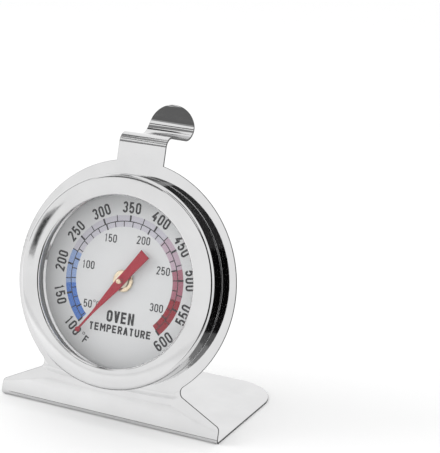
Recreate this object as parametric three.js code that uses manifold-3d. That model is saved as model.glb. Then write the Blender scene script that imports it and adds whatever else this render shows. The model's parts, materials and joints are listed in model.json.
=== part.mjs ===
// Dial oven thermometer on a folded sheet stand. Millimetres, +Z up, dial facing -Y.
// The stand's base lies on z = 0 and its plate leans back, so everything on the plate is built in a
// leaned group whose axes are x across, y straight back from the plate's front face, z up along it.
import * as THREE from 'three';
import { mergeVertices } from 'three/addons/utils/BufferGeometryUtils.js';
import Module from 'manifold-3d';

const wasm = await Module();
wasm.setup();

// ---- driving dimensions ----
const LEAN = THREE.MathUtils.degToRad(12); // plate, back from upright
const SHEET = 0.5; // thickness of the stand
const DIAL_Z = 35.25; // dial centre above the fold, along the plate
const RING_R = 30.5; // disc of the plate round the case
const HOLE_R = 25.7; // hole in the plate for the case
const FOOT_W = 31; // half width of the foot and base
const BASE_D = 42.5; // base, front to back
const BASE_CORNER = 12; // rear corners of the base
const FOLD_R = 1.2; // outside radius of the fold under the foot
const NECK_W = 6.55; // half width of the neck and hook
const CREST_Z = 72.5; // top of the hook strip, along the plate
const CREST_R = 2.8; // outside radius where the neck turns back
const HOOK_R = 4.6; // outside radius where the strip turns up again
const HOOK_Y = 11; // centre of that turn, behind the plate
const TAB_TOP = 81; // end of the hook's rounded tab
const CUP_R = 25.4; // case, outside
const CUP_WALL = 0.4;
const CUP_BACK = 14; // rear face of the case
const VENT_R = 3.35; // six vents on a circle, and one in the middle
const VENT_RING = 15.4;
const BEZEL_R = 26.8;
const WINDOW_R = 21.4;
const FACE_Y = -5.6; // front face of the bezel
const LENS_R = 25.2;
const DIAL_R = 24.6;
const DIAL_Y = 0.4; // printed face of the dial
const POINTER_Y = -1.3; // front of the pointer
const POINTER_DEG = 216.5; // at rest, clockwise from straight up
const GAP = 0.3; // clearance where pieces meet
const FACETS = 64; // segments in a large turned piece

const leaned = new THREE.Group();
leaned.rotation.x = -LEAN;
leaned.updateMatrix();
const dialCentre = new THREE.Group();
dialCentre.position.z = DIAL_Z;
leaned.add(dialCentre);

function material(color, roughness, metalness) {
  return new THREE.MeshStandardMaterial({ color, roughness, metalness });
}
const steel = () => material(0xcfd0d1, 0.12, 1);
const satin = () => material(0xb4b5b5, 0.35, 1);
const brass = () => material(0xcdb27a, 0.3, 1);

function place(parent, name, geometry, mat) {
  const mesh = new THREE.Mesh(geometry, mat);
  mesh.name = name;
  parent.add(mesh);
  return mesh;
}

// ---- solids ----
function solid(geometry) {
  const g = geometry.clone();
  g.deleteAttribute('normal');
  g.deleteAttribute('uv');
  const merged = mergeVertices(g, 1e-5);
  return new wasm.Manifold(new wasm.Mesh({
    numProp: 3,
    vertProperties: new Float32Array(merged.attributes.position.array),
    triVerts: new Uint32Array(merged.index.array),
  }));
}

function geometryOf(body) {
  const mesh = body.getMesh();
  const g = new THREE.BufferGeometry();
  g.setAttribute('position', new THREE.BufferAttribute(new Float32Array(mesh.vertProperties), 3));
  g.setIndex(new THREE.BufferAttribute(new Uint32Array(mesh.triVerts), 1));
  return g;
}

const arc = (cx, cy, r, from, to, steps) => Array.from({ length: steps + 1 }, (_, i) => {
  const a = THREE.MathUtils.degToRad(from + ((to - from) * i) / steps);
  return new THREE.Vector2(cx + r * Math.cos(a), cy + r * Math.sin(a));
});
const point = (x, y) => new THREE.Vector2(x, y);

// a flat outline in x and z, thickened along y from y0 to y1
function slab(points, y0, y1, holes = []) {
  const shape = new THREE.Shape(points);
  for (const hole of holes) shape.holes.push(new THREE.Path(hole));
  const g = new THREE.ExtrudeGeometry(shape, { depth: y1 - y0, bevelEnabled: false });
  g.rotateX(Math.PI / 2);
  return g.translate(0, y1, 0);
}

// an outline in y and z, drawn out along x from -half to half
function strip(points, half) {
  const g = new THREE.ExtrudeGeometry(new THREE.Shape(points), { depth: 2 * half, bevelEnabled: false });
  g.rotateY(Math.PI / 2).rotateX(Math.PI / 2);
  return g.translate(-half, 0, 0);
}

// a closed profile of [radius, y] corners turned round the dial's axis
function turned(profile, segments = FACETS) {
  const pts = profile.map((p) => (p.isVector2 ? p : point(p[0], p[1])));
  if (THREE.ShapeUtils.area(pts) < 0) pts.reverse();
  return new THREE.LatheGeometry([...pts, pts[0]], segments);
}
const tube = (r0, r1, y0, y1, segments) => turned([[r0, y0], [r1, y0], [r1, y1], [r0, y1]], segments);
const disc = (r, y0, y1, segments) => new THREE.CylinderGeometry(r, r, y1 - y0, segments)
  .translate(0, (y0 + y1) / 2, 0);

// ---- stand: one folded sheet ----
function sheetBand(points) {
  // a path in y and z given the sheet's thickness on its left side
  const left = points.map((p, i) => {
    const a = points[Math.max(i - 1, 0)];
    const b = points[Math.min(i + 1, points.length - 1)];
    const d = b.clone().sub(a).normalize();
    return point(p.x - d.y * SHEET, p.y + d.x * SHEET);
  });
  return [...points, ...left.reverse()];
}

function standPlate() {
  const lean = leaned.matrix;
  const foldY = (FOLD_R * (1 + Math.sin(LEAN))) / Math.cos(LEAN);
  const leanDeg = THREE.MathUtils.radToDeg(LEAN);
  const upright = (y, z) => point(y * Math.cos(LEAN) + z * Math.sin(LEAN),
    z * Math.cos(LEAN) - y * Math.sin(LEAN));
  // outside of the sheet, from the back of the base round to the end of the hook's tab
  const outside = [
    point(BASE_D + 2, 0),
    ...arc(foldY, FOLD_R, FOLD_R, 270, 180 - leanDeg, 7),
    ...arc(CREST_R, CREST_Z - CREST_R, CREST_R, 180, 90, 8).map((p) => upright(p.x, p.y)),
    ...arc(HOOK_Y, CREST_Z - SHEET + HOOK_R, HOOK_R - SHEET, 270, 360, 10)
      .map((p) => upright(p.x, p.y)),
    upright(HOOK_Y + HOOK_R - SHEET, TAB_TOP + 1),
  ];
  const sheet = solid(strip(sheetBand(outside.reverse()), FOOT_W + 2));

  // outlines that trim the sheet: foot, disc and neck; hook; base
  const notchR = 1.7;
  const notchX = 21.2;
  const notchZ = DIAL_Z - Math.sqrt((RING_R + notchR) ** 2 - notchX ** 2);
  const slope = 23; // shoulders of the foot, degrees
  const ringEnd = THREE.MathUtils.radToDeg(Math.atan2(notchZ - DIAL_Z, notchX));
  const neckDeg = THREE.MathUtils.radToDeg(Math.acos(NECK_W / RING_R));
  const half = [
    point(FOOT_W, -2),
    ...arc(FOOT_W - 1.4, 3.4, 1.4, 0, 90 - slope, 4),
    ...arc(notchX, notchZ, notchR, 270 - slope, 180 + ringEnd, 6),
    ...arc(0, DIAL_Z, RING_R, ringEnd, neckDeg, 34).slice(1),
    point(NECK_W, CREST_Z - 3),
  ];
  const mirror = (points) => points.map((p) => point(-p.x, p.y)).reverse();
  const plateCut = solid(slab([...half, ...mirror(half)], -2, 2.6,
    [arc(0, DIAL_Z, HOLE_R, 360, 0, FACETS).slice(1)]).applyMatrix4(lean));
  const tabZ = TAB_TOP - NECK_W;
  const hookCut = solid(slab([point(NECK_W, CREST_Z - 6), ...arc(0, tabZ, NECK_W, 0, 180, 20),
    point(-NECK_W, CREST_Z - 6)], -2, 20).applyMatrix4(lean));
  const corner = arc(FOOT_W - BASE_CORNER, BASE_D - BASE_CORNER, BASE_CORNER, 0, 90, 10);
  const baseOutline = [point(FOOT_W, -3), ...corner, ...mirror(corner), point(-FOOT_W, -3)];
  const baseCut = solid(new THREE.ExtrudeGeometry(new THREE.Shape(baseOutline),
    { depth: 2.5, bevelEnabled: false }).translate(0, 0, -1));
  return geometryOf(sheet.intersect(plateCut.add(hookCut).add(baseCut)));
}

// ---- case ----
function caseCup() {
  const edge = 1.7;
  const inner = edge - CUP_WALL;
  const shell = solid(turned([
    [CUP_R - CUP_WALL, -2.4], [CUP_R, -2.4],
    ...arc(CUP_R - edge, CUP_BACK - edge, edge, 0, 90, 6),
    [0, CUP_BACK], [0, CUP_BACK - CUP_WALL],
    ...arc(CUP_R - edge, CUP_BACK - edge, inner, 90, 0, 6),
  ].map((p) => (p.isVector2 ? p : point(p[0], p[1])))));
  let body = shell;
  const vents = [[0, 0]];
  for (let i = 0; i < 6; i += 1) {
    const a = (i * Math.PI) / 3;
    vents.push([VENT_RING * Math.sin(a), VENT_RING * Math.cos(a)]);
  }
  for (const [x, z] of vents) {
    body = body.subtract(solid(disc(VENT_R, CUP_BACK - 2, CUP_BACK + 2, 32).translate(x, 0, z)));
  }
  return geometryOf(body);
}

function bezel() {
  const shoulder = 0.9;
  const wall = 0.5;
  const lip = 0.7;
  return turned([
    point(BEZEL_R, -GAP),
    ...arc(BEZEL_R - shoulder, FACE_Y + shoulder, shoulder, 0, -90, 6),
    ...arc(WINDOW_R + lip, FACE_Y + lip, lip, 270, 180, 4),
    point(WINDOW_R + 0.3, FACE_Y + lip),
    ...arc(WINDOW_R + lip, FACE_Y + lip, lip - 0.4, 180, 270, 3),
    ...arc(BEZEL_R - shoulder, FACE_Y + shoulder, shoulder - wall, -90, 0, 4),
    point(BEZEL_R - wall, -GAP),
  ]);
}

// ---- pointer ----
function pointer() {
  // outline along the pointer, tip towards +z: flared tail, broad middle, thin shaft, round tip
  const right = [
    point(1.45, -9.6), point(1.1, -3), point(1.12, 2.2), point(0.5, 9), point(0.3, 11.4),
    point(0.24, 16.5), ...arc(0, 17.4, 0.66, -60, 90, 6),
  ];
  const left = right.slice(0, -1).map((p) => point(-p.x, p.y)).reverse();
  return slab([...right, ...left], POINTER_Y, POINTER_Y + 0.35, [arc(0, 0, 0.65, 360, 0, 20).slice(1)]);
}

// ---- movement ----
function coil(r0, pitch, turns, thick, y0, y1) {
  const steps = Math.round(turns * 30);
  const wind = (offset) => Array.from({ length: steps + 1 }, (_, i) => {
    const a = (i / steps) * turns * 2 * Math.PI;
    const r = r0 + (pitch * a) / (2 * Math.PI) + offset;
    return point(r * Math.cos(a), r * Math.sin(a));
  });
  return slab([...wind(0).reverse(), ...wind(thick)].reverse(), y0, y1);
}

const hexagon = (r) => arc(0, 0, r, 0, 300, 5);
const bore = (r, segments = 24) => arc(0, 0, r, 360, 0, segments).slice(1);

// C-shaped bracket: its front arm is clamped behind the dial, its rear arm holds the calibration stud
function bracket() {
  const [front, back, top, wall, bottom] = [1.8, 8.7, 11.2, 0.6, -3.4];
  const profile = [point(front, bottom), point(front, top), point(back, top), point(back, bottom),
    point(back - wall, bottom), point(back - wall, top - wall), point(front + wall, top - wall),
    point(front + wall, bottom)];
  const body = solid(strip(profile.reverse(), 2.8));
  const frontHole = solid(disc(1.9, 1, 3, 24));
  const rearHole = solid(disc(1.5, 7.5, 9.5, 24));
  return geometryOf(body.subtract(frontHole).subtract(rearHole));
}

function calibrationStud() {
  const stud = solid(turned([[0, 9.8], [1.87, 9.8], [1.87, 9], [1.2, 9], [1.2, 6.2], [0, 6.2]], 32));
  const slot = solid(new THREE.BoxGeometry(0.5, 1, 5).translate(0, 9.8, 0));
  return geometryOf(stud.subtract(slot));
}

// arm on the rear end of the spindle, with a prong beside the outer end of the coil
function driveArm() {
  const eye = [...arc(0, 0, 1.6, 160, 380, 16), point(0.8, 9), point(-0.8, 9)];
  const arm = solid(slab(eye, 4.4, 4.9, [bore(0.75)]));
  const prong = solid(new THREE.BoxGeometry(1.2, 2.8, 0.5).translate(0, 5.9, 8.6));
  return geometryOf(arm.add(prong));
}

const group = new THREE.Group();
const onBase = new THREE.Group(); // origin in the middle of the base's underside
onBase.position.y = -BASE_D / 2;
group.add(onBase);
onBase.add(leaned);
place(onBase, 'stand_plate', standPlate(), steel());

const c = dialCentre;
place(c, 'case_cup', caseCup(), steel());
place(c, 'bezel', bezel(), steel());
place(c, 'lens', disc(LENS_R, -4.2, -2.8, FACETS), material(0xf4f7f7, 0.03, 0));
place(c, 'lens_gasket', tube(22, 24.8, -4.8, -4.5), material(0x8d8f90, 0.6, 0));
place(c, 'spacer_ring', turned([
  [22.3, -2.5], [24.6, -2.5], [24.6, -2.1], [22.7, -2.1], [22.7, DIAL_Y - GAP - 0.4],
  [24.6, DIAL_Y - GAP - 0.4], [24.6, DIAL_Y - GAP], [22.3, DIAL_Y - GAP],
]), steel());
place(c, 'dial_plate', tube(1.9, DIAL_R, DIAL_Y, DIAL_Y + 0.5), material(0xc6c7c8, 0.55, 0.2));
place(c, 'dial_support_ring', tube(23.8, 24.6, 1.2, 11.6), satin());
place(c, 'support_spring', tube(23.9, 24.5, 11.9, 12.3), satin());
place(c, 'bearing_bush', turned([
  [0.75, -0.2], [2.6, -0.2], [2.85, 0.1], [1.6, 0.1], [1.6, 3.9], [0.75, 3.9],
], 40), brass());
place(c, 'dial_washer', tube(1.9, 4, 1.2, 1.5, 32), material(0xd8d2c4, 0.6, 0));
place(c, 'movement_bracket', bracket(), satin());
place(c, 'bush_washer', tube(1.9, 3.2, 2.7, 2.9, 32), satin());
place(c, 'bush_nut', slab(hexagon(2.9), 3.2, 4.1, [bore(1.9)]), brass());
place(c, 'calibration_stud', calibrationStud(), brass());
place(c, 'stud_clip', tube(1.5, 2.2, 7.6, 7.8, 24), satin());
place(c, 'bimetal_coil', coil(1.6, 1.15, 5.25, 0.3, 5.3, 7.3), satin());

place(c, 'spindle', turned([
  [0, -1.9], [0.35, -1.9], [0.35, -0.6], [0.6, -0.6], [0.6, 5.9], [0, 5.9],
], 24), steel());
place(c, 'spindle_washer', tube(0.9, 1.7, -0.8, -0.5, 24), material(0xe8e4da, 0.5, 0));
place(c, 'drive_arm', driveArm(), satin());
place(c, 'arm_collar', tube(0.75, 1.25, 5.2, 5.8, 24), brass());
const hand = place(c, 'pointer', pointer(), material(0xb22c3a, 0.5, 0));
hand.rotation.y = THREE.MathUtils.degToRad(POINTER_DEG);
place(c, 'pointer_cap', turned([
  [0, -2.6], [0.45, -2.55], [0.65, -2.35], [0.65, -2.2], [0, -2.2],
], 24), brass());

export default group;
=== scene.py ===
# Looks of the dial oven thermometer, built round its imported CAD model. Metres, +Z up, dial facing -Y.
import json
import math

import bmesh
import bpy
from mathutils import Matrix, Vector
from mathutils.geometry import delaunay_2d_cdt


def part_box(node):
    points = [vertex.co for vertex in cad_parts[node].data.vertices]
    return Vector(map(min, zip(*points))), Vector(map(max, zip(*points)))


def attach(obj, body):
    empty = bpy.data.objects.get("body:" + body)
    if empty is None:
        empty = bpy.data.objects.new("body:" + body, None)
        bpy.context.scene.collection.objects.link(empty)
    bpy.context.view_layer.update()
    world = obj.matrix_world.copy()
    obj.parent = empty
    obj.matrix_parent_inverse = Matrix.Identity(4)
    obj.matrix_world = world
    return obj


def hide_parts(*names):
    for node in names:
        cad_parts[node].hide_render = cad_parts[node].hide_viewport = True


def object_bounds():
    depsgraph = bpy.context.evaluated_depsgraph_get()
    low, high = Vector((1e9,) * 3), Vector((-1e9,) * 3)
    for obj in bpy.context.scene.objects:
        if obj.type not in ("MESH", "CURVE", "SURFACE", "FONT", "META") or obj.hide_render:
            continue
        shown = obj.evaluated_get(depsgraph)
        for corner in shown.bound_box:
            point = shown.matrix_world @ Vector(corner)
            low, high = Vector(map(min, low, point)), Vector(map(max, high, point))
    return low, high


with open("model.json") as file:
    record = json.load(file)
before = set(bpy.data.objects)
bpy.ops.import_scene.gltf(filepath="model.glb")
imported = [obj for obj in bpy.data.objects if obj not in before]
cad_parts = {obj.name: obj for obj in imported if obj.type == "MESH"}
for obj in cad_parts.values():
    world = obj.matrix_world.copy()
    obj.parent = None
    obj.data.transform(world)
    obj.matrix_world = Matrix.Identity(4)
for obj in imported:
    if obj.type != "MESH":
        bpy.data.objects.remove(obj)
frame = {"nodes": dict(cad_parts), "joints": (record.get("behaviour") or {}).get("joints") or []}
CAD_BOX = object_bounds()

# ---- dial coordinates, in mm: x across, y straight back through the dial, z up the leaning plate ----
MM = 0.001
TURN = frame["joints"][0]
LEAN = math.atan2(-TURN["axis"][2], TURN["axis"][1])
DIAL = Matrix.Translation(TURN["pos_m"]) @ Matrix.Rotation(-LEAN, 4, "X") @ Matrix.Scale(MM, 4)
CASE = "thermometer"  # the body that stands still
MOVING = "movement"  # the body that turns


def cad_points(node):
    """A CAD node's vertices in dial coordinates."""
    back = DIAL.inverted()
    return [back @ v.co for v in frame["nodes"][node].data.vertices]


def turned_size(node):
    """Least and greatest radius and depth of a CAD node turned about the dial's axis."""
    points = cad_points(node)
    radii = [math.hypot(p.x, p.z) for p in points]
    depths = [p.y for p in points]
    return min(radii), max(radii), min(depths), max(depths)


# ---- outlines ----
ON_AXIS = 1e-6  # a radius below this lies on the dial's axis


def arc(cx, cy, r, start, end, steps):
    """Points on a circle from start to end degrees, anticlockwise from the first axis."""
    angles = (math.radians(start + (end - start) * i / steps) for i in range(steps + 1))
    return [Vector((cx + r * math.cos(a), cy + r * math.sin(a))) for a in angles]


def circle(r, steps, cx=0.0, cy=0.0):
    """A closed outline, anticlockwise."""
    return arc(cx, cy, r, 0, 360, steps)[:-1]


def soften(corners, radius=0.08, steps=3):
    """A closed outline with each sharp corner rounded by a short curve."""
    corners = [Vector(c) for c in corners]
    out = []
    for i, here in enumerate(corners):
        to_last = corners[i - 1] - here
        to_next = corners[(i + 1) % len(corners)] - here
        turn = math.pi - to_last.angle(to_next)
        on_axis = here.x < ON_AXIS
        if turn < math.radians(25) or on_axis:
            out.append(here)
            continue
        cut = min(radius * math.tan(min(turn, 2.6) / 2), 0.45 * to_last.length, 0.45 * to_next.length)
        start = here + to_last.normalized() * cut
        end = here + to_next.normalized() * cut
        for k in range(steps + 1):
            t = k / steps
            out.append(start * (1 - t) ** 2 + here * (2 * t * (1 - t)) + end * t * t)
    return out


def inset(loop, amount):
    """A closed outline moved to its left by amount."""
    out = []
    for i, p in enumerate(loop):
        a = (p - loop[i - 1]).normalized()
        b = (loop[(i + 1) % len(loop)] - p).normalized()
        na, nb = Vector((-a.y, a.x)), Vector((-b.y, b.x))
        out.append(p + (na + nb) * (amount / max(1 + na.dot(nb), 0.3)))
    return out


def inside(p, loops):
    """True if p is within an odd number of the closed outlines."""
    crossings = 0
    for loop in loops:
        for i, b in enumerate(loop):
            a = loop[i - 1]
            if (a.y > p.y) != (b.y > p.y) and p.x < a.x + (p.y - a.y) * (b.x - a.x) / (b.y - a.y):
                crossings += 1
    return crossings % 2 == 1


def fill(loops, creases=(), inner=()):
    """Triangles that fill the first outline around the others, as indices into all the points given."""
    points = [p for loop in loops for p in loop] + list(inner)
    edges, first = list(creases), 0
    for loop in loops:
        edges += [(first + i, first + (i + 1) % len(loop)) for i in range(len(loop))]
        first += len(loop)
    made = delaunay_2d_cdt(points, edges, [], 0, 1e-7)
    index = [old[0] for old in made[3]]
    triangles = []
    for face in made[2]:
        middle = sum((made[0][i] for i in face), Vector((0, 0))) / len(face)
        if inside(middle, loops):
            triangles.append([index[i] for i in face])
    return triangles


# ---- meshes ----
def emit(name, points, faces, materials, face_materials=None, matrix=DIAL):
    """A smooth-shaded object from points in the matrix's coordinates, its flats kept flat."""
    mesh = bpy.data.meshes.new(name)
    mesh.from_pydata([matrix @ Vector(p) for p in points], [], faces)
    for m in materials:
        mesh.materials.append(m)
    if face_materials:
        mesh.polygons.foreach_set("material_index", face_materials)
    mesh.polygons.foreach_set("use_smooth", [True] * len(mesh.polygons))
    mesh.validate()
    obj = bpy.data.objects.new(name, mesh)
    bpy.context.scene.collection.objects.link(obj)
    outwards(mesh)
    mesh.set_sharp_from_angle(angle=math.radians(50))
    flats = obj.modifiers.new("flats", "WEIGHTED_NORMAL")
    flats.keep_sharp = True
    return obj


def outwards(mesh):
    """Turns the faces of each closed piece outwards."""
    bm = bmesh.new()
    bm.from_mesh(mesh)
    bmesh.ops.recalc_face_normals(bm, faces=bm.faces)
    if bm.calc_volume(signed=True) < 0:
        bmesh.ops.reverse_faces(bm, faces=bm.faces)
    bm.to_mesh(mesh)
    bm.free()


def settle(obj, slot, *nodes, body=CASE):
    """Puts a piece on its body, in place of the CAD nodes that it stands for."""
    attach(obj, body)
    if nodes:
        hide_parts(*nodes)
    return obj


def turned_mesh(outline, steps):
    """Points and faces of a closed outline of (radius, depth) turned round the dial's axis."""
    points, faces, rows = [], [], []
    for r, y in outline:
        count = steps if r > ON_AXIS else 1
        rows.append(range(len(points), len(points) + count))
        for k in range(count):
            a = 2 * math.pi * k / steps
            points.append((r * math.sin(a), y, r * math.cos(a)))
    for i, row in enumerate(rows):
        other = rows[(i + 1) % len(rows)]
        if len(row) == 1 and len(other) == 1:
            continue
        for k in range(steps):
            n = (k + 1) % steps
            quad = [row[k % len(row)], row[n % len(row)], other[n % len(other)], other[k % len(other)]]
            faces.append(list(dict.fromkeys(quad)))
    return points, faces


def turned(name, corners, material, steps=192, radius=0.08):
    """An object turned round the dial's axis from (radius, depth) corners, its sharp corners eased."""
    points, faces = turned_mesh(soften(corners, radius), steps)
    return emit(name, points, faces, [material])


def sheet_mesh(loops, thickness, edge, place, creases=(), inner=()):
    """Points, faces and which faces are cut edge, for flat outlines given a thickness with eased edges.
    place(u, v, depth) gives the point at that depth into the sheet."""
    levels = [(edge, 0), (edge * 0.3, edge * 0.3), (0, edge), (0, thickness - edge),
              (edge * 0.3, thickness - edge * 0.3), (edge, thickness)]
    points, faces, is_edge = [], [], []
    per_level = sum(len(loop) for loop in loops)
    for amount, depth in levels:
        for loop in loops:
            points += [place(p.x, p.y, depth) for p in inset(loop, amount)]
    cap = fill([inset(loop, edge) for loop in loops], creases, inner)
    last = (len(levels) - 1) * per_level
    near, far = len(points), len(points) + len(inner)
    points += [place(p.x, p.y, 0) for p in inner] + [place(p.x, p.y, thickness) for p in inner]
    for tri in cap:
        faces.append([i if i < per_level else near + i - per_level for i in tri])
        faces.append([last + i if i < per_level else far + i - per_level for i in reversed(tri)])
        is_edge += [0, 0]
    first = 0
    for loop in loops:
        for level in range(len(levels) - 1):
            a, b = level * per_level + first, (level + 1) * per_level + first
            for i in range(len(loop)):
                n = (i + 1) % len(loop)
                faces.append([a + i, a + n, b + n, b + i])
                is_edge.append(1)
        first += len(loop)
    return points, faces, is_edge


def slab(name, loops, y0, y1, material, edge):
    """Outlines in x and z given depth from y0 to y1."""
    points, faces, _ = sheet_mesh(loops, y1 - y0, edge, lambda u, v, t: (u, y0 + t, v))
    return emit(name, points, faces, [material])


# ---- materials ----
def linear(*rgb):
    """A colour given from 0 to 255 as it looks on a screen, as the shader's linear colour."""
    return [((c / 255 + 0.055) / 1.055) ** 2.4 if c > 10 else c / 255 / 12.92 for c in rgb] + [1]


class Nodes:
    """A material's node tree, with short calls for the nodes used here. Noise is in object metres."""

    def __init__(self, name):
        self.material = bpy.data.materials.new(name)
        self.material.use_nodes = True
        self.tree = self.material.node_tree
        self.shader = self.tree.nodes["Principled BSDF"]
        self.place = self.tree.nodes.new("ShaderNodeTexCoord").outputs["Object"]

    def add(self, kind, inputs=(), **settings):
        node = self.tree.nodes.new("ShaderNode" + kind)
        for key, value in settings.items():
            setattr(node, key, value)
        for key, value in dict(inputs).items():
            if isinstance(value, bpy.types.NodeSocket):
                self.tree.links.new(value, node.inputs[key])
            else:
                node.inputs[key].default_value = value
        return node

    def noise(self, size, stretch=(1, 1, 1), detail=3):
        """Noise whose features are about size mm, longer along an axis whose stretch is below 1."""
        scaled = self.add("Mapping", {"Vector": self.place, "Scale": stretch})
        made = self.add("TexNoise", {"Vector": scaled.outputs["Vector"], "Scale": 1000 / size,
                                     "Detail": detail})
        return made.outputs["Fac"]

    def spread(self, fac, low, high, start=0.35, end=0.65):
        """fac, spread from low to high."""
        made = self.add("MapRange", {"Value": fac, "From Min": start, "From Max": end,
                                     "To Min": low, "To Max": high})
        return made.outputs["Result"]

    def mixed(self, fac, a, b):
        """Colour a where fac is 0, colour b where it is 1."""
        made = self.add("Mix", data_type="RGBA")
        self.tree.links.new(fac, made.inputs["Factor"])
        made.inputs[6].default_value, made.inputs[7].default_value = a, b
        return made.outputs[2]

    def bump(self, height, depth, strength=0.3):
        """Bumps of about depth mm."""
        made = self.add("Bump", {"Height": height, "Strength": strength, "Distance": depth * MM})
        self.tree.links.new(made.outputs["Normal"], self.shader.inputs["Normal"])

    def feed(self, **inputs):
        for key, value in inputs.items():
            socket = self.shader.inputs[key.replace("_", " ")]
            if isinstance(value, bpy.types.NodeSocket):
                self.tree.links.new(value, socket)
            else:
                socket.default_value = value


def steel(name, shade, roughness, grain=(1, 1, 1), wear=0.04):
    """Stainless sheet with fine rolled lines along grain, and cloudy polish."""
    n = Nodes(name)
    clouds = n.noise(9, detail=4)
    lines = n.noise(0.5, grain, detail=2)
    n.feed(Base_Color=n.mixed(n.spread(clouds, 0, 1), [shade, shade, shade * 1.005, 1],
                              [shade * 0.95, shade * 0.95, shade * 0.955, 1]),
           Metallic=1.0, Roughness=n.spread(lines, roughness, roughness + wear))
    n.bump(lines, 0.004, 0.25)
    return n.material


def glass(name):
    """Clear glass that lets the studio's light through to what is behind it."""
    n = Nodes(name)
    n.feed(Base_Color=[1, 1, 1, 1], Roughness=0.0, IOR=1.45, Transmission_Weight=1.0,
           Specular_IOR_Level=0.05)
    clear = n.add("BsdfTransparent")
    rays = n.add("LightPath")
    straight = n.add("Math", {0: rays.outputs["Is Shadow Ray"], 1: rays.outputs["Is Diffuse Ray"]},
                     operation="MAXIMUM")
    mix = n.add("MixShader", {0: straight.outputs[0]})
    n.tree.links.new(n.shader.outputs[0], mix.inputs[1])
    n.tree.links.new(clear.outputs[0], mix.inputs[2])
    n.tree.links.new(mix.outputs[0], n.tree.nodes["Material Output"].inputs["Surface"])
    return n.material


def paint(name, colour, roughness=0.5, variation=0.06, size=0.4, depth=0.006, sheen=0.5):
    """Paint, ink, rubber or fibre: a colour with slight mottling and a fine tooth."""
    n = Nodes(name)
    mottle = n.noise(size, detail=4)
    darker = [c * (1 - variation) for c in colour[:3]] + [1]
    n.feed(Base_Color=n.mixed(n.spread(mottle, 0, 1), colour, darker), Specular_IOR_Level=sheen,
           Roughness=n.spread(n.noise(size * 2), roughness - 0.05, roughness + 0.05))
    n.bump(mottle, depth, 0.3)
    return n.material


def brass_metal(name):
    """Pale brass with fine turning lines."""
    n = Nodes(name)
    lines = n.noise(0.12, (1, 0.2, 1), detail=2)
    n.feed(Base_Color=n.mixed(n.spread(n.noise(0.7), 0, 1), linear(238, 222, 194), linear(228, 208, 176)),
           Metallic=1.0, Roughness=n.spread(lines, 0.22, 0.30))
    n.bump(lines, 0.004, 0.3)
    return n.material


POLISHED = steel("polished_steel", 0.655, 0.035, grain=(0.06, 1, 1), wear=0.03)
WORKED = steel("worked_steel", 0.655, 0.12, grain=(0.06, 1, 1), wear=0.03)
SPUN = steel("spun_steel", 0.65, 0.05, grain=(0.5, 1, 0.5), wear=0.03)
SATIN = steel("satin_steel", 0.58, 0.26, grain=(1, 1, 0.1), wear=0.12)
# cut edges: rougher and duller than the polished faces, and darkened well below steel as painted shade, so
# that each cut and eased edge draws a thin dark line
SHEARED_EDGE_AND_SHADE = steel("sheared_edge_and_painted_shade", 0.12, 0.35, grain=(1, 1, 1), wear=0.15)
# dark steel: the stud clip's own blued finish, and painted shade on the dial's back so that the vents look
# black inside
BLUED_STEEL_AND_PAINTED_SHADE = steel("blued_steel_and_painted_shade", 0.22, 0.30, grain=(0.1, 1, 1), wear=0.12)
GLASS = glass("lens_glass")
RUBBER = paint("gasket_rubber", linear(96, 97, 98), 0.6)
DIAL_PAINT = paint("dial_paint", linear(196, 197, 198), 0.5, 0.02, 0.3, depth=0.003, sheen=0.1)
INK = paint("dark_ink", linear(22, 21, 27), 0.6, 0.15, 0.15, sheen=0.05)
RED_PAINT = paint("red_paint", linear(146, 8, 36), 0.45, 0.08, 0.5, sheen=0.05)
FIBRE = paint("fibre", linear(222, 214, 196), 0.6, 0.12, 0.3)
BRASS = brass_metal("turned_brass")
BIMETAL = steel("bimetal_strip", 0.5, 0.3, grain=(1, 0.2, 1), wear=0.1)
BAND_INKS = {
    "blue": paint("blue_ink", linear(58, 104, 178), 0.6, 0.10, 0.25, sheen=0.1),
    "light_blue": paint("light_blue_ink", linear(128, 150, 192), 0.6, 0.08, 0.25, sheen=0.1),
    "lavender": paint("lavender_ink", linear(179, 177, 186), 0.6, 0.05, 0.25, sheen=0.1),
    "mauve": paint("mauve_ink", linear(172, 152, 165), 0.6, 0.06, 0.25, sheen=0.1),
    "rose": paint("rose_ink", linear(148, 88, 104), 0.6, 0.08, 0.25, sheen=0.1),
    "red": paint("red_ink", linear(134, 8, 30), 0.6, 0.10, 0.25, sheen=0.05),
}


# ---- stand: one polished sheet, folded under the foot and bent back into the hook ----
SHEET = 0.5
RING_R = 30.5  # disc of the plate round the case
HOLE_R = 25.7
FOLD_R = 1.2  # outside radius under the foot
NECK_W = 6.55  # half width of the neck and hook
CREST_Z = 72.5  # top of the hook strip, along the plate from the fold's corner
CREST_R = 2.8
HOOK_R = 4.6
HOOK_Y = 11
TAB_TOP = 81
BASE_CORNER = 12
NOTCH_R = 1.7  # where the foot's shoulders meet the disc
NOTCH_X = 21.2
SHOULDER = 23  # slope of the foot's shoulders, degrees
FOOT_CORNER = 1.4
FOOT_Z = 3.4  # centre of that corner, above the fold
FOLD_STEPS = 14
CREST_STEPS = 16
HOOK_STEPS = 10
TIP_STEPS = 24  # round the tab's quarter circle
TIP_CREASES = 18  # of those, the ones joined straight across to the other side
PRESS_Z = -26.4  # faint pressed line across the foot, below the dial's centre, at the notches
PRESS_SAG = 0.9
PRESS_DEPTH = 0.15
PRESS_W = 0.6


def route_point(route, start, heading, s):
    """Where s mm along a route of (length, turn in radians) runs is, and which way it heads."""
    y, z = start
    for length, turn in route:
        step = min(s, length)
        bend = turn * step / length
        if turn:
            r = length / turn
            y += r * (math.sin(heading + bend) - math.sin(heading))
            z += r * (math.cos(heading) - math.cos(heading + bend))
        else:
            y += step * math.cos(heading)
            z += step * math.sin(heading)
        heading += bend
        s -= step
        if s <= 0:
            break
    return y, z, heading


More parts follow.
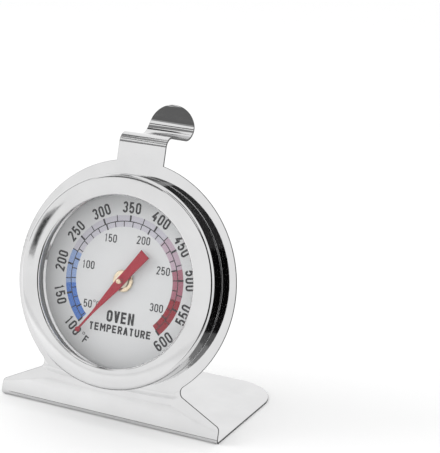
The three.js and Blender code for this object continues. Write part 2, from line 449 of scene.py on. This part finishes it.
def stand():
    """The sheet, flattened, filled with triangles and then laid along its folded route."""
    _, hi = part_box("stand_plate")
    half_foot, back = hi.x / MM, hi.y / MM
    dial_z = (Vector(TURN["pos_m"]) / MM - Vector((0, -back, 0))).length
    upright = math.pi / 2 - LEAN
    corner = FOLD_R * (1 + math.sin(LEAN)) / math.cos(LEAN)  # from the sheet's corner to the fold's ends
    quarter = math.pi / 2
    base, fold = 2 * back - corner, FOLD_R * (math.pi - upright)
    crest, hook = CREST_R * quarter, (HOOK_R - SHEET) * quarter
    plate, strip = CREST_Z - CREST_R - corner, HOOK_Y - CREST_R
    tab = TAB_TOP - CREST_Z + SHEET - HOOK_R
    hook_start = base + fold + plate + crest + strip
    route = [(base, 0), (fold, upright - math.pi), (plate, 0), (crest, -quarter), (strip, 0),
             (hook, quarter), (tab, 0)]

    def spot(s):
        return route_point(route, (back, 0), math.pi, s)

    def up_plate(s):
        """Height along the leaning plate, from the fold's corner."""
        y, z, _ = spot(s)
        return (y + back) * math.sin(LEAN) + z * math.cos(LEAN)

    def at_height(z):
        return base + fold + z - corner

    def at_hook_height(z):
        low, high = hook_start, hook_start + hook + tab
        for _ in range(40):
            middle = (low + high) / 2
            low, high = (middle, high) if up_plate(middle) < z else (low, middle)
        return low

    # right-hand edge of the flattened sheet, from the back of the base to the tip of the tab
    notch_z = dial_z - math.sqrt((RING_R + NOTCH_R) ** 2 - NOTCH_X ** 2)
    ring_end = math.degrees(math.atan2(notch_z - dial_z, NOTCH_X))
    neck_end = math.degrees(math.acos(NECK_W / RING_R))
    right = arc(half_foot - BASE_CORNER, BASE_CORNER, BASE_CORNER, -90, 0, 24)
    fold_rows = (len(right), FOLD_STEPS)
    right += [Vector((half_foot, base + fold * i / FOLD_STEPS)) for i in range(FOLD_STEPS + 1)]
    for run in (arc(half_foot - FOOT_CORNER, FOOT_Z, FOOT_CORNER, 0, 90 - SHOULDER, 10),
                arc(NOTCH_X, notch_z, NOTCH_R, 270 - SHOULDER, 180 + ring_end, 16),
                arc(0, dial_z, RING_R, ring_end, neck_end, 110)[1:]):
        right += [Vector((p.x, at_height(p.y))) for p in run]
    crest_rows = (len(right), CREST_STEPS)
    right += [Vector((NECK_W, base + fold + plate + crest * i / CREST_STEPS))
              for i in range(CREST_STEPS + 1)]
    round_z = TAB_TOP - NECK_W
    round_s = at_hook_height(round_z)
    hook_rows = (len(right), HOOK_STEPS + TIP_CREASES)
    right += [Vector((NECK_W, hook_start + (round_s - hook_start) * i / HOOK_STEPS))
              for i in range(HOOK_STEPS + 1)]
    for i in range(1, TIP_STEPS + 1):
        a = quarter * i / TIP_STEPS
        right.append(Vector((NECK_W * math.cos(a), at_hook_height(round_z + NECK_W * math.sin(a)))))
    left = [Vector((-p.x, p.y)) for p in reversed(right[:-1])]
    outline = right + left
    total = len(outline)
    rows = [i for first, count in (fold_rows, crest_rows, hook_rows)
            for i in range(first, first + count + 1)]
    creases = [(i, total - 2 - i if i < len(right) - 1 else i) for i in rows if i < len(right) - 1]
    hole = [Vector((p.x, at_height(p.y))) for p in reversed(circle(HOLE_R, 192, 0, dial_z))]

    def pressed_line(x):
        """How far up the plate the faint pressed line runs."""
        return dial_z + PRESS_Z - PRESS_SAG * (1 - (x / 20) ** 2)

    def press(x, s):
        """Depth of the faint pressed line."""
        return PRESS_DEPTH * math.exp(-(((s - at_height(pressed_line(x))) / PRESS_W) ** 2))

    inner = []
    for k in range(-7, 8):
        for i in range(-18, 19):
            z = pressed_line(i) + k * 0.2
            if math.hypot(i, z - dial_z) > HOLE_R + 0.3:
                inner.append(Vector((i, at_height(z))))

    def place(x, s, depth):
        y, z, heading = spot(s)
        into = depth + press(x, s)
        return x, y + into * math.sin(heading), z - into * math.cos(heading)

    points, faces, is_edge = sheet_mesh([outline, hole], SHEET, 0.07, place, creases, inner)
    # the sheet's cut and eased edges take the darkened edge steel: painted shade that draws a thin dark
    # line along them
    obj = emit("stand", points, faces, [POLISHED, SHEARED_EDGE_AND_SHADE, WORKED], is_edge, Matrix.Scale(MM, 4))
    start_z = spot(base + fold + plate)[1] * MM  # the crest's bend, where bending dulls the polish a little
    end_y = spot(base + fold + plate + crest)[0] * MM
    for polygon in obj.data.polygons:
        if polygon.material_index == 0 and polygon.center.z > start_z and polygon.center.y < end_y:
            polygon.material_index = 2
    settle(obj, "polished_steel", "stand_plate")


# ---- case and its glazing ----
FACE_EASE = 5  # degrees that the bezel's face leans back at its outer edge


def bezel():
    """The spun front ring: a face that eases back from the middle, a tight shoulder and a straight wall."""
    window_r, wall_r, front, skirt = turned_size("bezel")
    shoulder, lip, wall = 0.9, 0.7, 0.5
    flat_r, ease = 22.6, math.radians(FACE_EASE)
    outline = [(wall_r, skirt), (wall_r, skirt - 0.3)]
    face_r = wall_r - shoulder * (1 - math.sin(ease))
    drop = (face_r - flat_r) * ease / 2
    turn_y = front + drop + shoulder * math.cos(ease)
    outline += arc(wall_r - shoulder, turn_y, shoulder, 0, math.degrees(ease) - 90, 16)
    for k in range(1, 13):
        t = 1 - k / 12
        outline.append((flat_r + (face_r - flat_r) * t, front + drop * t * t))
    outline += arc(window_r + lip, front + lip, lip, 270, 180, 12)
    outline += [(window_r + 0.3, front + lip)]
    outline += arc(window_r + lip, front + lip, lip - 0.4, 180, 270, 8)
    outline += arc(wall_r - shoulder, turn_y, shoulder - wall, -90, 0, 8)
    outline += [(wall_r - wall, skirt)]
    obj = turned("bezel_ring", outline, SPUN, 256, 0.12)
    settle(obj, "polished_steel", "bezel")


def vented_case():
    """The drawn cup behind the plate: a flat back with seven vents, a rounded edge and a straight wall."""
    _, outer, front, back = turned_size("case_cup")
    wall, edge, eased = 0.4, 1.7, 0.06
    vent_r, vent_ring = 3.35, 15.4
    steps, vent_steps = 192, 48
    flat_r = outer - edge
    centres = [(0, 0)]
    centres += [around(vent_ring, 60 * k) for k in range(6)]
    rim = circle(flat_r, steps)
    vents = [list(reversed(circle(vent_r, vent_steps, x, z))) for x, z in centres]
    points, faces, is_edge = sheet_mesh([rim] + vents, wall, eased,
                                        lambda u, v, t: (u, back - t, v))
    # the rim's own levels are left open: the turned wall takes over from them
    per_level = steps + vent_steps * len(vents)
    rim_levels = {level * per_level + i for level in range(6) for i in range(steps)}
    kept = [(f, e) for f, e in zip(faces, is_edge) if not (e and all(i in rim_levels for i in f))]
    faces = [f for f, e in kept]
    is_edge = [e for f, e in kept]
    outside = arc(flat_r, back - edge, edge, 90, 0, 14)
    outside += [Vector((outer, front + 0.1)), Vector((outer - 0.1, front))]
    inside_run = [Vector((outer - wall + 0.1, front)), Vector((outer - wall, front + 0.1))]
    inside_run += arc(flat_r, back - edge, edge - wall, 0, 90, 14)
    rows = []
    for r, y in outside + inside_run:
        rows.append(len(points))
        points += [(r * math.cos(a), y, r * math.sin(a))
                   for a in (2 * math.pi * k / steps for k in range(steps))]
    for a, b in zip(rows, rows[1:]):
        for k in range(steps):
            n = (k + 1) % steps
            faces.append([a + k, a + n, b + n, b + k])
            is_edge.append(0)
    # sew the turned wall to the flat back, outside and in
    for level, row in ((0, rows[0]), (5, rows[-1])):
        for k in range(steps):
            n = (k + 1) % steps
            a = level * per_level
            faces.append([a + k, a + n, row + n, row + k])
            is_edge.append(0)
    # the vents' and rim's cut and eased edges take the darkened edge steel: painted shade that draws a thin
    # dark line along them
    obj = emit("case_back", points, faces, [SPUN, SHEARED_EDGE_AND_SHADE], is_edge)
    settle(obj, "polished_steel", "case_cup")


def glazing():
    """The lens, its gasket, and the ring that holds it off the dial: a channel with a bevelled toe."""
    _, r, front, back = turned_size("lens")
    lens = turned("lens_disc", [(0, front), (r, front), (r, back), (0, back)], GLASS, 192, 0.15)
    settle(lens, "lens_glass", "lens")
    r0, r1, y0, y1 = turned_size("lens_gasket")
    gasket = turned("gasket_ring", [(r0, y0), (r1, y0), (r1, y1), (r0, y1)], RUBBER, 160, 0.08)
    settle(gasket, "gasket", "lens_gasket")
    r0, r1, y0, y1 = turned_size("spacer_ring")
    t, toe = 0.4, 0.45
    wall = r0 + toe
    outline = [(wall, y0), (r1, y0), (r1, y0 + t), (wall + t, y0 + t), (wall + t, y1 - t), (r1, y1 - t)]
    outline += [(r1, y1), (r0, y1), (r0, y1 - 0.1), (wall, y1 - 0.1 - toe)]
    spacer = turned("spacer_channel", outline, SPUN, 192, 0.06)
    settle(spacer, "polished_steel", "spacer_ring")


# ---- dial: a painted disc with printed bands, scales and figures ----
INK_DEPTH = 0.02
DIAL_TURN = -1.3  # the print sits this far round from upright
SCALE_R = 15.0  # line between the two scales
OUTER_R = 16.5
INNER_R = 13.6
TOP_F = 350  # temperature straight up
DEG_PER_F = 0.544
LOW_F, HIGH_F = 100, 600


def clock(fahrenheit):
    """Degrees clockwise from straight up."""
    return (fahrenheit - TOP_F) * DEG_PER_F


def to_f(celsius):
    """Degrees Fahrenheit."""
    return celsius * 1.8 + 32


class Print:
    """Flat ink shapes on the dial, gathered into one closed mesh for each ink."""

    def __init__(self, name, ink, face_y, depth=INK_DEPTH):
        self.name, self.ink, self.face_y, self.depth = name, ink, face_y, depth
        self.points, self.faces = [], []

    def ribbon(self, left, right, closed=False):
        """A strip between two lines of points in x and z."""
        turn = Matrix.Rotation(math.radians(DIAL_TURN), 2)
        first, n = len(self.points), len(left)
        for a, b in zip(left, right):
            a, b = turn.inverted() @ Vector(a), turn.inverted() @ Vector(b)
            for p, y in ((a, self.face_y - self.depth), (b, self.face_y - self.depth),
                         (a, self.face_y + 0.01), (b, self.face_y + 0.01)):
                self.points.append((p.x, y, p.y))
        for i in range(n if closed else n - 1):
            p, q = first + 4 * i, first + 4 * ((i + 1) % n)
            self.faces += [[p, p + 1, q + 1, q], [p + 2, q + 2, q + 3, p + 3],
                           [p, q, q + 2, p + 2], [p + 1, p + 3, q + 3, q + 1]]
        if not closed:
            last = first + 4 * (n - 1)
            self.faces += [[first, first + 2, first + 3, first + 1], [last, last + 1, last + 3, last + 2]]

    def stroke(self, line, width, closed=False):
        """A pen stroke of even width along a line of points."""
        left, right, n = [], [], len(line)
        for i, p in enumerate(line):
            before = line[i - 1] if closed or i else None
            after = line[(i + 1) % n] if closed or i < n - 1 else None
            into = (p - before).normalized() if before is not None else (after - p).normalized()
            out = (after - p).normalized() if after is not None else into
            na, nb = Vector((-into.y, into.x)), Vector((-out.y, out.x))
            side = (na + nb) * (width / 2 / max(1 + na.dot(nb), 0.35))
            left.append(p + side)
            right.append(p - side)
        self.ribbon(left, right, closed)

    def ring(self, r0, r1, start, end):
        """A band of a ring, angles clockwise from straight up."""
        steps = max(2, int((end - start) / 1.5))
        angles = [math.radians(90 - start - (end - start) * i / steps) for i in range(steps + 1)]
        self.ribbon([(r0 * math.cos(a), r0 * math.sin(a)) for a in angles],
                    [(r1 * math.cos(a), r1 * math.sin(a)) for a in angles])

    def finish(self):
        settle(emit(self.name, self.points, self.faces, [self.ink]), "dial_face")


def glyph(char, w, h, s):
    """Strokes of a condensed figure or letter in a box w by h, as (points, closed). The pen is s wide."""
    def line(*pts):
        return [Vector((x * w, y * h)) for x, y in pts], False

    def bow(cx, cy, rx, ry, start, end, steps=14):
        angles = (math.radians(start + (end - start) * i / steps) for i in range(steps + 1))
        return [Vector((cx * w + rx * w * math.cos(a), cy * h + ry * h * math.sin(a))) for a in angles]

    cap = 0.5 * w / h  # a half-round end, as a share of the height
    under = s / 2 / h
    if char in "0O":
        return [(bow(0.5, 1 - cap, 0.5, cap, 0, 180) + bow(0.5, cap, 0.5, cap, 180, 360), True)]
    if char == "1":
        return [line((0.12, 0.80), (0.55, 0.985), (0.55, -under))]
    if char == "2":
        top = bow(0.5, 1 - cap, 0.5, cap, 175, -25)
        return [(top + [Vector((0, 0)), Vector((w, 0))], False)]
    if char == "3":
        top = bow(0.5, 0.755, 0.48, 0.245, 165, -75)
        return [(top + [Vector((0.5 * w, 0.52 * h))] + bow(0.5, 0.265, 0.5, 0.265, 80, -165), False)]
    if char == "4":
        slant = line((0.66, 1), (0, 0.26), (1.04, 0.26))
        return [slant, line((0.74, 0.26 - under), (0.74, -under)), line((0.74, 0.26 + under), (0.74, 0.52))]
    if char == "5":
        flag = [Vector((0.94 * w, h)), Vector((0.08 * w, h)), Vector((0.03 * w, 0.50 * h))]
        return [(flag + bow(0.5, 0.31, 0.5, 0.31, 128, -160), False)]
    if char == "6":
        stem = bow(0.5, 1 - cap, 0.5, cap, 20, 180)
        low = bow(0.5, 0.30, 0.5, 0.30, 180, 500, 26)
        return [(stem + low, False)]
    if char == "C":
        return [(bow(0.5, 1 - cap, 0.5, cap, 10, 180) + bow(0.5, cap, 0.5, cap, 180, 350), False)]
    if char == "U":
        top = h + s / 2
        return [([Vector((0, top))] + bow(0.5, cap, 0.5, cap, 180, 360) + [Vector((w, top))], False)]
    if char == "T":
        return [line((-0.05, 1), (1.05, 1)), line((0.5, 1 - under), (0.5, -under))]
    if char in "EF":
        ends = [(1.1, 0)] if char == "E" else []
        bar = s / 2 / w
        return [line((1.1, 1), (0, 1), (0, 0 if ends else -under), *ends), line((bar, 0.52), (0.98, 0.52))]
    if char in "PR":
        loop = [Vector((0, -s / 2)), Vector((0, h)), Vector((0.6 * w, h))]
        loop += bow(0.6, 0.735, 0.4, 0.265, 80, -90)
        leg = [line((0.55, 0.47 - under), (1.02, -under))] if char == "R" else []
        return [(loop + [Vector((s / 2, 0.47 * h))], False)] + leg
    raise ValueError(char)


def slanted(char, w, h, s):
    """Pairs of rails for the letters with slanted strokes, in a box w by h. Their ends are cut flat."""
    k = s * 1.08  # a slanted stroke's width, measured across the page
    m = w / 2
    d = s * 1.9  # and its height where it meets a stem
    stems = [([(0, 0), (0, h)], [(s, 0), (s, h)]), ([(w - s, 0), (w - s, h)], [(w, 0), (w, h)])]
    if char == "N":
        return stems + [([(s, h), (w - s, d)], [(s, h - d), (w - s, 0)])]
    if char == "M":
        low = 0.22 * h
        left = ([(s, h), (m, low + d)], [(s, h - d), (m, low)])
        right = ([(m, low + d), (w - s, h)], [(m, low), (w - s, h - d)])
        return stems + [left, right]
    crotch = h * (k / 2) / (m - k / 2)  # where the two strokes' inner edges meet
    at = (m - k / 2) * crotch / h
    sides = []
    for flip in (1, -1):
        outer = [(0, h), (m - k / 2 - at, crotch), (m - k / 2, 0)]
        inner = [(k, h), (m, crotch), (m, 0)]
        sides.append(tuple([(m + flip * (x - m), y) for x, y in rail] for rail in (outer, inner)))
    if char == "V":
        return sides
    sides = [([(x, h - y) for x, y in a], [(x, h - y) for x, y in b]) for a, b in sides]
    low, high = 0.2 * h, 0.2 * h + s * 0.8  # crossbar of the A
    x0 = k + (m - k) * low / (h - crotch)
    x1 = k + (m - k) * high / (h - crotch)
    return sides + [([(x0, low), (x1, high)], [(w - x0, low), (w - x1, high)])]


def write(ink, text, height, pen, width, gap, origin, angle, flipped=False):
    """Text centred on origin, turned clockwise by angle degrees; flipped text is turned end for end."""
    shares = {"M": 1.2, "1": 0.8}  # of the usual width
    widths = [width * shares.get(c, 1) for c in text]
    start = -(sum(widths) + gap * (len(text) - 1)) / 2
    turn = Matrix.Rotation(math.radians(-angle + (180 if flipped else 0)), 2)
    for char, w in zip(text, widths):
        shift = Vector((start, -height / 2))
        if char in "VNMA":
            for rails in slanted(char, w, height, pen):
                ink.ribbon(*[[turn @ (Vector(p) + shift) + Vector(origin) for p in rail] for rail in rails])
        else:
            shift += Vector((pen / 2, pen / 2))
            for line, closed in glyph(char, w - pen, height - pen, pen):
                ink.stroke([turn @ (p + shift) + Vector(origin) for p in line], pen, closed)
        start += w + gap


def around(r, angle):
    """The x and z of a place on the dial, angle degrees clockwise from straight up."""
    a = math.radians(angle)
    return r * math.sin(a), r * math.cos(a)


def dial():
    """The disc, its coloured bands, the two scales and the wording."""
    hole, r, face, back = turned_size("dial_plate")
    plate = turned("dial_disc", [(hole, face), (r, face), (r, back), (hole, back)], DIAL_PAINT, 192, 0.06)
    # the disc's back takes the dark steel: painted shade, so that the case's vents show black inside
    plate.data.materials.append(BLUED_STEEL_AND_PAINTED_SHADE)
    for polygon in plate.data.polygons:
        polygon.material_index = 1 if (DIAL.inverted() @ polygon.center).y > face + 0.2 else 0
    settle(plate, "dial_face", "dial_plate")

    colours = [("blue", LOW_F, 167), ("light_blue", 167, 225), ("lavender", 225, 425),
               ("mauve", 425, 482), ("rose", 482, 534), ("red", 534, HIGH_F)]
    for name, low, high in colours:
        band = Print("band_" + name, BAND_INKS[name], face, INK_DEPTH * 0.6)
        band.ring(INNER_R, OUTER_R, clock(low), clock(high))
        band.finish()

    marks = Print("scale_marks", INK, face)
    marks.ring(SCALE_R - 0.11, SCALE_R + 0.11, clock(LOW_F) - 0.3, clock(HIGH_F) + 0.3)
    for f in range(LOW_F, HIGH_F + 1, 25):
        half = 0.24 if f % 50 == 0 else 0.12
        mark(marks, clock(f), SCALE_R + 0.11, OUTER_R + 0.05, half)
    for c in range(40, 320, 10):
        half = 0.19 if c % 50 == 0 else 0.12
        mark(marks, clock(to_f(c)), INNER_R - (0.15 if c % 50 == 0 else 0), SCALE_R - 0.11, half)
    marks.finish()

    figures = Print("figures", INK, face)
    for f in range(LOW_F, HIGH_F + 1, 50):
        angle = clock(f)
        write(figures, str(f), 2.85, 0.49, 1.47, 0.36, around(18.45, angle), angle, abs(angle) > 90)
    spots = {50: (-9.35, -7.05), 100: (-10.4, 2.75), 150: (-4.95, 10.2), 200: (4.25, 10.75),
             250: (10.6, 4.0), 300: (9.9, -5.3)}
    for c, spot in spots.items():
        write(figures, str(c), 2.05, 0.29, 1.05, 0.26, spot, 0)
    degree_sign(figures, (-7.5, -6.15), 0.27, 0.13)
    write(figures, "C", 1.5, 0.2, 0.8, 0.3, (-6.55, -6.85), 0)
    degree_sign(figures, around(17.55, -147.2), 0.3, 0.15)
    write(figures, "F", 2.1, 0.38, 1.2, 0.3, around(18.5, -151.6), -151.6, True)
    write(figures, "OVEN", 2.95, 0.6, 1.68, 0.34, (0.3, -9.25), 0)
    write(figures, "TEMPERATURE", 1.98, 0.43, 1.3, 0.3, (0.5, -12.4), 0)
    figures.finish()


def mark(ink, angle, r0, r1, half):
    """A radial tick, half its width each side."""
    along, across = Vector(around(1, angle)), Vector(around(half, angle + 90))
    ink.ribbon([along * r0 - across, along * r1 - across], [along * r0 + across, along * r1 + across])


def degree_sign(ink, centre, r, pen):
    ink.stroke(circle(r, 20, *centre), pen, closed=True)


# ---- pointer and movement ----
def pointer():
    """The red hand, tip last: a flared tail, a broad middle, a thin shaft and a round tip."""
    points = cad_points("pointer")
    y0, y1 = min(p.y for p in points), max(p.y for p in points)
    tip = max(points, key=lambda p: math.hypot(p.x, p.z))
    angle = math.degrees(math.atan2(tip.x, tip.z))
    right = [Vector(p) for p in ((1.45, -9.6), (1.28, -6.5), (1.12, -3), (1.14, -1), (1.12, 2.2), (0.5, 9),
                                 (0.3, 11.4), (0.24, 16.5))]
    right += arc(0, 17.4, 0.66, -60, 90, 14)
    left = [Vector((-p.x, p.y)) for p in reversed(right[:-1])]
    turn = Matrix.Rotation(math.radians(-angle), 2)
    loops = [[turn @ p for p in right + left], [turn @ p for p in reversed(circle(0.4, 32))]]
    hand = slab("pointer_hand", loops, y0, y1, RED_PAINT, 0.05)
    settle(hand, "pointer_red", "pointer", body=MOVING)


def axle_parts():
    """The cap in the middle of the hand, the bush round it, and the plain rings along the axle."""
    _, r, y0, y1 = turned_size("pointer_cap")
    seat = min(p.y for p in cad_points("pointer")) - 0.02
    cap = turned("axle_cap", [(0, y0 + 0.12), (r * 0.3, y0 + 0.1), (r * 0.45, y0), (r * 0.85, y0 + 0.05),
                              (r, y1 - 0.1), (r, seat), (0, seat)], BRASS, 64, 0.05)
    settle(cap, "brass", "pointer_cap", body=MOVING)
    r0, r1, y0, y1 = turned_size("bearing_bush")
    flange = 0.3
    barrel = 1.6
    bush = turned("bush", [(r0, y0), (r1 - 0.25, y0), (r1, y0 + flange), (barrel, y0 + flange),
                           (barrel, y1), (r0, y1)], BRASS, 96, 0.05)
    settle(bush, "brass", "bearing_bush")
    plain = {
        "dial_washer": (FIBRE, "fibre", CASE),
        "spindle_washer": (FIBRE, "fibre", CASE),
        "bush_washer": (SATIN, "plain_steel", CASE),
        "stud_clip": (BLUED_STEEL_AND_PAINTED_SHADE, "plain_steel", CASE),
        "support_spring": (SATIN, "plain_steel", CASE),
        "dial_support_ring": (SATIN, "plain_steel", CASE),
        "arm_collar": (BRASS, "brass", MOVING),
    }
    for node, (material, slot, body) in plain.items():
        r0, r1, y0, y1 = turned_size(node)
        piece = turned(node + "_ring", [(r0, y0), (r1, y0), (r1, y1), (r0, y1)], material, 96, 0.04)
        settle(piece, slot, node, body=body)


def carried_over():
    """CAD nodes whose shape already serves get their finish."""
    finishes = {
        "movement_bracket": SATIN,
        "bush_nut": BRASS,
        "calibration_stud": BRASS,
        "bimetal_coil": BIMETAL,
        "spindle": SATIN,
        "drive_arm": SATIN,
    }
    for node, material in finishes.items():
        obj = frame["nodes"][node]
        obj.data.materials.clear()
        obj.data.materials.append(material)


# ---- camera and studio ----
MIDDLE = (CAD_BOX[0] + CAD_BOX[1]) / 2
CAMERA_LENS = 99.83  # mm
CAMERA_FROM = (23.78, 14.2, 0.2917)  # azimuth and elevation in degrees, distance in metres
CAMERA_TARGET = (0.02869, -0.02125, 0.05455)
CAMERA_ROLL = 3.22  # degrees
FLOOR_HALF = 4.0


def direction(azimuth, elevation):
    """A unit vector at these angles in degrees. Azimuth 0 is in front, on the -Y side."""
    a, e = math.radians(azimuth), math.radians(elevation)
    return Vector((math.sin(a) * math.cos(e), -math.cos(a) * math.cos(e), math.sin(e)))


def aim(obj, azimuth, elevation, distance, target, roll=0.0):
    """Puts a camera or a lamp out from target, facing it."""
    back = direction(azimuth, elevation)
    turn = (-back).to_track_quat("-Z", "Y").to_matrix().to_4x4() @ Matrix.Rotation(roll, 4, "Z")
    obj.matrix_world = Matrix.Translation(Vector(target) + back * distance) @ turn


def camera():
    """The camera that the pictures are taken with."""
    data = bpy.data.cameras.new("camera")
    data.lens = CAMERA_LENS
    data.clip_start = 0.01
    obj = bpy.data.objects.new("camera", data)
    bpy.context.scene.collection.objects.link(obj)
    aim(obj, *CAMERA_FROM, CAMERA_TARGET, math.radians(CAMERA_ROLL))
    bpy.context.scene.camera = obj


def lamp(name, azimuth, elevation, distance, size, watts):
    """A square soft lamp that the steel doesn't reflect."""
    data = bpy.data.lights.new(name, "AREA")
    data.size, data.energy = size, watts
    obj = bpy.data.objects.new(name, data)
    bpy.context.scene.collection.objects.link(obj)
    aim(obj, azimuth, elevation, distance, MIDDLE)
    obj.visible_glossy = False


def mesh_object(name, points, faces, material):
    """A piece of the studio."""
    mesh = bpy.data.meshes.new(name)
    mesh.from_pydata(points, [], faces)
    mesh.materials.append(material)
    obj = bpy.data.objects.new(name, mesh)
    bpy.context.scene.collection.objects.link(obj)
    return obj


def hide(obj):
    """Hides an object from the camera, from soft light and from shadows. The steel still reflects it."""
    obj.visible_camera = False
    obj.visible_diffuse = False
    obj.visible_shadow = False


def screen(name, spots, across, shade):
    """A dark screen through rows of spots, seen in the steel only."""
    matt = Nodes(name)
    matt.feed(Base_Color=[0, 0, 0, 1], Roughness=1.0, Specular_IOR_Level=0.0,
              Emission_Color=[shade, shade, shade, 1], Emission_Strength=1.0)
    faces = [(k, k + 1, k + across + 2, k + across + 1) for k in range(len(spots) - across - 1)
             if k % (across + 1) != across]
    hide(mesh_object(name, spots, faces, matt.material))


def card(name, azimuths, elevations, shade, centre=None, distance=0.6):
    """A curved screen round a centre, between two azimuths and two elevations."""
    across = max(2, int((azimuths[1] - azimuths[0]) / 4))
    up = max(2, int((elevations[1] - elevations[0]) / 4))
    spots = []
    for j in range(up + 1):
        elevation = elevations[0] + (elevations[1] - elevations[0]) * j / up
        for i in range(across + 1):
            azimuth = azimuths[0] + (azimuths[1] - azimuths[0]) * i / across
            spots.append((centre or MIDDLE) + direction(azimuth, elevation) * distance)
    screen(name, spots, across, shade)


def floor_card(name, azimuths, near, far, shade):
    """A piece of a ring lying just over the floor in front, seen in the steel only."""
    angles = [azimuths[0] + (azimuths[1] - azimuths[0]) * i / 12 for i in range(13)]
    spots = [direction(a, 0) * r + Vector((0, 0, 0.3 * MM)) for r in (near, far) for a in angles]
    screen(name, spots, 12, shade)


CARDS = (  # name, azimuths and elevations in degrees, brightness
    ("beside_camera_card", (17, 34), (-4.4, 27), 0.004),
    ("right_card", (34, 61), (-4.4, 57), 0.05),
    ("above_camera_card", (-25, 34), (27, 39), 0.04),
    ("far_left_card", (-50, -25), (41, 47), 0.1),
    ("left_card", (-66, -54), (6, 38), 0.03),
    ("high_card", (-5, 62), (57, 73), 0.06),
    ("high_left_card", (-80, -42), (52, 63), 0.3),
    ("far_high_left_card", (-108, -80), (58, 66), 0.08),
    ("streak_card", (-38.8, -35.4), (5.4, 9.2), 0.06),
)
HOOK_CARDS = (  # close to the hook, so that only its tab reflects them
    ("tab_card", (-36, -16), (10.6, 18), 0.16),
    ("soft_tab_card", (-36, -16), (18, 25), 0.4),
)
FLOOR_CARDS = (  # name, azimuths, nearest and farthest distance in metres, brightness
    ("floor_card_near", (4, 60), 0.095, 0.135, 0.35),
    ("floor_card_middle", (6, 60), 0.135, 0.2, 0.16),
    ("floor_card_far", (10, 60), 0.2, 0.6, 0.01),
)


def studio():
    """A pale floor in white light, one soft lamp, and dark screens for the steel to reflect."""
    scene = bpy.context.scene
    scene.view_settings.view_transform = "Standard"
    world = bpy.data.worlds.new("studio")
    scene.world = world
    world.use_nodes = True
    world.node_tree.nodes["Background"].inputs["Color"].default_value = (1, 1, 1, 1)
    world.node_tree.nodes["Background"].inputs["Strength"].default_value = 1.15
    floor_paint = Nodes("floor_paint")
    floor_paint.feed(Base_Color=[0.86, 0.86, 0.86, 1], Roughness=0.9)
    r = FLOOR_HALF
    mesh_object("floor", [(-r, -r, 0), (r, -r, 0), (r, r, 0), (-r, r, 0)], [(0, 1, 2, 3)],
                floor_paint.material)
    for entry in CARDS:
        card(*entry)
    # behind the streak's card, a larger and lighter one softens its edge
    card("soft_streak_card", (-39.8, -34.4), (4.4, 10.4), 0.45, distance=0.62)
    tab = Vector((0, TURN["pos_m"][1] + 19 * MM, CAD_BOX[1].z - 2 * MM))
    for entry in HOOK_CARDS:
        card(*entry, centre=tab, distance=0.15)
    for entry in FLOOR_CARDS:
        floor_card(*entry)
    # a black strip on the floor in front of the foot, painted shade standing in for the floor's shade at
    # the foot, for the bottom of its face to reflect
    x, y, z = CAD_BOX[0].x, CAD_BOX[0].y, 0.1 * MM
    near, far = y - 1.5 * MM, y + MM
    screen("toe_shade_card", [(x, near, z), (-x, near, z), (x, far, z), (-x, far, z)], 1, 0.0)
    lamp("key", -62, 24, 0.6, 0.3, 1.3)


camera()
studio()
stand()
bezel()
vented_case()
glazing()
dial()
pointer()
axle_parts()
carried_over()
